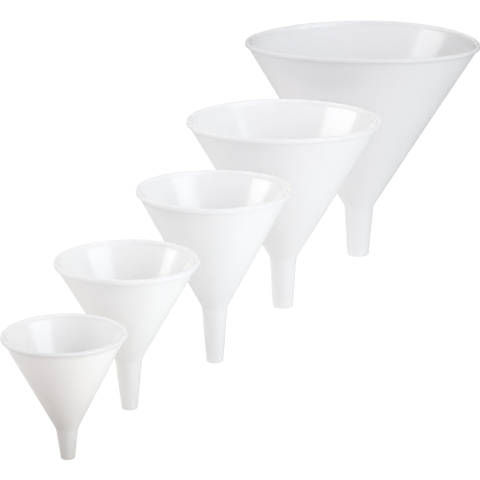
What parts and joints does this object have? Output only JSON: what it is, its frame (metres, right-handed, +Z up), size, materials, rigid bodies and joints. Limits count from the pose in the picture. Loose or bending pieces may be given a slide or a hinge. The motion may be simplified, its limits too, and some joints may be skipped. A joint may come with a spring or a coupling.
{
  "type": "graduated funnel set",
  "caption": "Graduated set of one-piece translucent plastic funnels with straight cones, beaded rims and tapered spouts, standing in a staggered row.",
  "frame": {"origin": "middle of the set's footprint on the plane that the spout tips stand on", "axes": "+Z up along every funnel's axis; the row runs from the smallest funnel at -X -Y to the largest at +X +Y; the front, seen in the picture, faces -Y"},
  "size_m": [0.2694, 0.45, 0.146],
  "materials": {
    "milky_plastic": "satin milky polyethylene that lets light through, smooth and slightly glossy inside the cone"
  },
  "bodies": {
    "large": {"large_funnel": "milky_plastic"},
    "extra_small": {"extra_small_funnel": "milky_plastic"},
    "small": {"small_funnel": "milky_plastic"},
    "medium": {"medium_funnel": "milky_plastic"},
    "extra_large": {"extra_large_funnel": "milky_plastic"}
  },
  "joints": [
    {"name": "lift_extra_small", "type": "slide", "parent": "large", "child": "extra_small", "axis": [0, 0, 1], "range_m": [0, 0.09]},
    {"name": "lift_small", "type": "slide", "parent": "large", "child": "small", "axis": [0, 0, 1], "range_m": [0, 0.11]},
    {"name": "lift_medium", "type": "slide", "parent": "large", "child": "medium", "axis": [0, 0, 1], "range_m": [0, 0.13]},
    {"name": "lift_extra_large", "type": "slide", "parent": "large", "child": "extra_large", "axis": [0, 0, 1], "range_m": [0, 0.13]}
  ]
}
